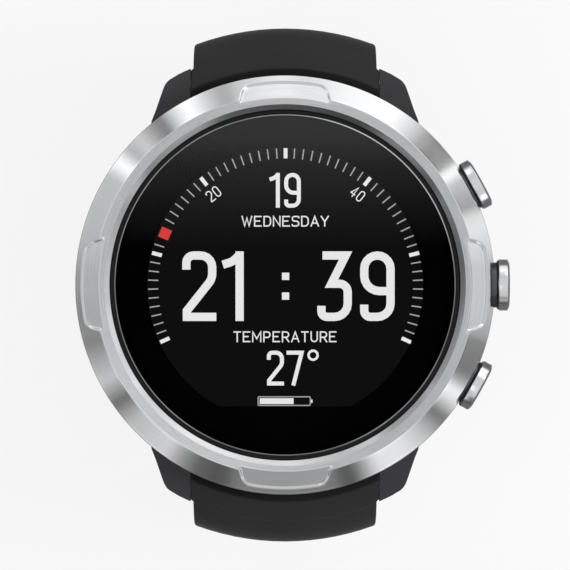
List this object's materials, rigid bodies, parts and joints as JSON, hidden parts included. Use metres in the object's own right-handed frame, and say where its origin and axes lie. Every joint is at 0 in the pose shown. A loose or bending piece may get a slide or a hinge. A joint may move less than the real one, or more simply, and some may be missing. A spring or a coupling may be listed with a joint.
{
  "type": "wrist dive computer",
  "caption": "Round wrist dive computer with a flat black glass, brushed steel bezel with sunk panels, side push buttons and an open rubber strap loop with pin buckle.",
  "frame": {"origin": "centre of the case back's outer face, where the head rests on the wrist", "axes": "+Z out through the glass, +Y to 12 o'clock, +X to 3 o'clock, where the push buttons are"},
  "size_m": [0.0551, 0.0658, 0.0691],
  "materials": {
    "bezel": "brushed round the dial",
    "crystal": "polished",
    "crystal_gasket": "matt",
    "display_panel": "glossy black",
    "display_frame": "matt",
    "mid_case": "fine matt grain",
    "circuit_board": "solder mask",
    "battery": "foil",
    "vibration_motor": "satin",
    "buzzer": "satin",
    "pressure_sensor": "satin",
    "case_back": "satin",
    "case_back_gasket": "matt",
    "case_screw_a": "machined",
    "case_screw_b": "machined",
    "case_screw_c": "machined",
    "case_screw_d": "machined",
    "charging_contact_left": "gold plated",
    "charging_contact_centre": "gold plated",
    "charging_contact_right": "gold plated",
    "button_upper": "turned",
    "button_bushing_upper": "satin",
    "button_switch_upper": "matt",
    "button_middle": "turned",
    "button_bushing_middle": "satin",
    "button_switch_middle": "matt",
    "button_lower": "turned",
    "button_bushing_lower": "satin",
    "button_switch_lower": "matt",
    "spring_bar_12": "satin",
    "bar_release_12": "satin",
    "spring_bar_6": "satin",
    "bar_release_6": "satin",
    "strap_buckle_half": "matt silicone",
    "strap_tail_half": "matt silicone",
    "buckle_frame": "brushed",
    "buckle_bar": "satin",
    "buckle_tongue": "brushed",
    "keeper_fixed": "matt silicone",
    "keeper_sliding": "matt silicone"
  },
  "bodies": {
    "case": {"bezel": "bezel", "crystal": "crystal", "crystal_gasket": "crystal_gasket", "display_panel": "display_panel", "display_frame": "display_frame", "mid_case": "mid_case", "circuit_board": "circuit_board", "battery": "battery", "vibration_motor": "vibration_motor", "buzzer": "buzzer", "pressure_sensor": "pressure_sensor", "case_back": "case_back", "case_back_gasket": "case_back_gasket", "case_screw_a": "case_screw_a", "case_screw_b": "case_screw_b", "case_screw_c": "case_screw_c", "case_screw_d": "case_screw_d", "charging_contact_left": "charging_contact_left", "charging_contact_centre": "charging_contact_centre", "charging_contact_right": "charging_contact_right", "button_bushing_upper": "button_bushing_upper", "button_switch_upper": "button_switch_upper", "button_bushing_middle": "button_bushing_middle", "button_switch_middle": "button_switch_middle", "button_bushing_lower": "button_bushing_lower", "button_switch_lower": "button_switch_lower", "spring_bar_12": "spring_bar_12", "spring_bar_6": "spring_bar_6"},
    "button_upper": {"button_upper": "button_upper"},
    "button_middle": {"button_middle": "button_middle"},
    "button_lower": {"button_lower": "button_lower"},
    "tail_strap": {"strap_tail_half": "strap_tail_half"},
    "tail_release": {"bar_release_6": "bar_release_6"},
    "buckle_strap": {"strap_buckle_half": "strap_buckle_half", "keeper_fixed": "keeper_fixed", "buckle_bar": "buckle_bar"},
    "buckle_release": {"bar_release_12": "bar_release_12"},
    "buckle_frame": {"buckle_frame": "buckle_frame"},
    "buckle_tongue": {"buckle_tongue": "buckle_tongue"},
    "keeper_sliding": {"keeper_sliding": "keeper_sliding"}
  },
  "joints": [
    {"name": "button_upper_press", "type": "slide", "parent": "case", "child": "button_upper", "axis": [-0.8746, -0.4848, 0], "range_m": [0, 0.0008], "stiffness_N_per_m": 2500, "springref_m": -0.0006},
    {"name": "button_middle_press", "type": "slide", "parent": "case", "child": "button_middle", "axis": [-1, 0, 0], "range_m": [0, 0.0008], "stiffness_N_per_m": 2500, "springref_m": -0.0006},
    {"name": "button_lower_press", "type": "slide", "parent": "case", "child": "button_lower", "axis": [-0.8746, 0.4848, 0], "range_m": [0, 0.0008], "stiffness_N_per_m": 2500, "springref_m": -0.0006},
    {"name": "tail_strap_swing", "type": "hinge", "parent": "case", "child": "tail_strap", "pos_m": [0, -0.0255, 0.0045], "axis": [-1, 0, 0], "range_deg": [0, 60]},
    {"name": "buckle_strap_swing", "type": "hinge", "parent": "case", "child": "buckle_strap", "pos_m": [0, 0.0255, 0.0045], "axis": [-1, 0, 0], "range_deg": [0, 12]},
    {"name": "tail_release_slide", "type": "slide", "parent": "tail_strap", "child": "tail_release", "axis": [1, 0, 0], "range_m": [0, 0.0012], "stiffness_N_per_m": 800, "springref_m": -0.001},
    {"name": "buckle_release_slide", "type": "slide", "parent": "buckle_strap", "child": "buckle_release", "axis": [1, 0, 0], "range_m": [0, 0.0012], "stiffness_N_per_m": 800, "springref_m": -0.001},
    {"name": "buckle_frame_swing", "type": "hinge", "parent": "buckle_strap", "child": "buckle_frame", "pos_m": [0, 0.00158, -0.04091], "axis": [-1, 0, 0], "range_deg": [-12, 60]},
    {"name": "buckle_tongue_swing", "type": "hinge", "parent": "buckle_frame", "child": "buckle_tongue", "pos_m": [0, 0.00158, -0.04091], "axis": [1, 0, 0], "range_deg": [0, 20]},
    {"name": "keeper_slide_round_bend", "type": "hinge", "parent": "buckle_strap", "child": "keeper_sliding", "pos_m": [0, 0.00729, -0.0209], "axis": [1, 0, 0], "range_deg": [-10, 10]}
  ]
}
